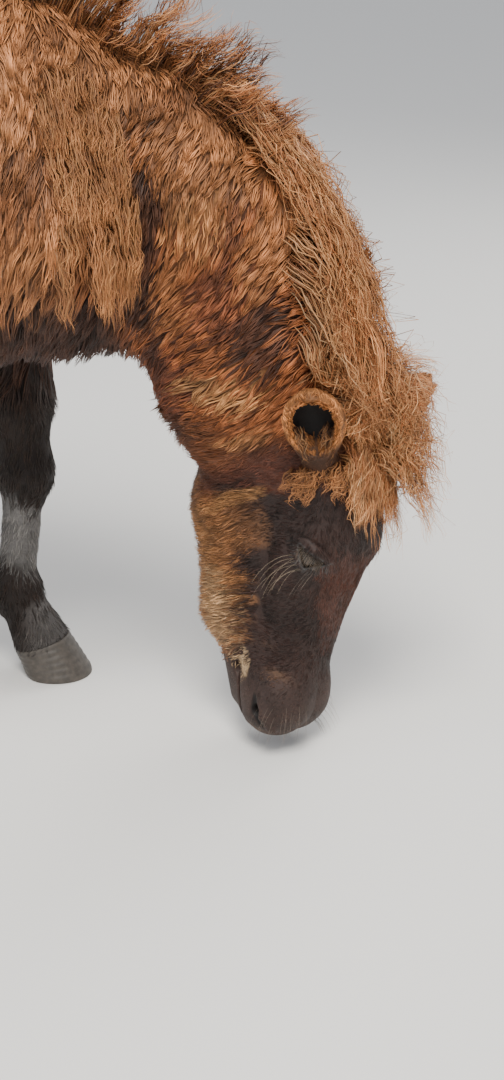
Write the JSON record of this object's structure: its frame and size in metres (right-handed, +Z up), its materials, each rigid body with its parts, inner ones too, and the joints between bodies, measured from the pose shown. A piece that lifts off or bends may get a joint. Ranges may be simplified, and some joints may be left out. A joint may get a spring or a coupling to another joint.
{
  "type": "shetland pony",
  "caption": "Life-size still model of a young pony grazing, with its head down, a thick mane and a shaggy coat.",
  "frame": {"origin": "on the floor, under the middle of the model's box", "axes": "+X towards the head, +Y to the pony's left, +Z up"},
  "size_m": [1.3566, 0.4296, 0.9123],
  "materials": {
    "coat": "long soft chestnut hair",
    "dark_coat": "short dark brown hair",
    "mane": "long wavy hair, chestnut to tan",
    "eye": "dark, wet and glossy",
    "hoof": "dark grey horn"
  },
  "bodies": {
    "root": {"torso": "coat", "neck": "mane", "head": "dark_coat", "tail": "mane", "ear_left": "coat", "ear_right": "coat", "eye_left": "eye", "eye_right": "eye", "leg_fore_left": "dark_coat", "leg_fore_right": "dark_coat", "leg_hind_left": "dark_coat", "leg_hind_right": "dark_coat", "hoof_fore_left": "hoof", "hoof_fore_right": "hoof", "hoof_hind_left": "hoof", "hoof_hind_right": "hoof"}
  },
  "joints": []
}
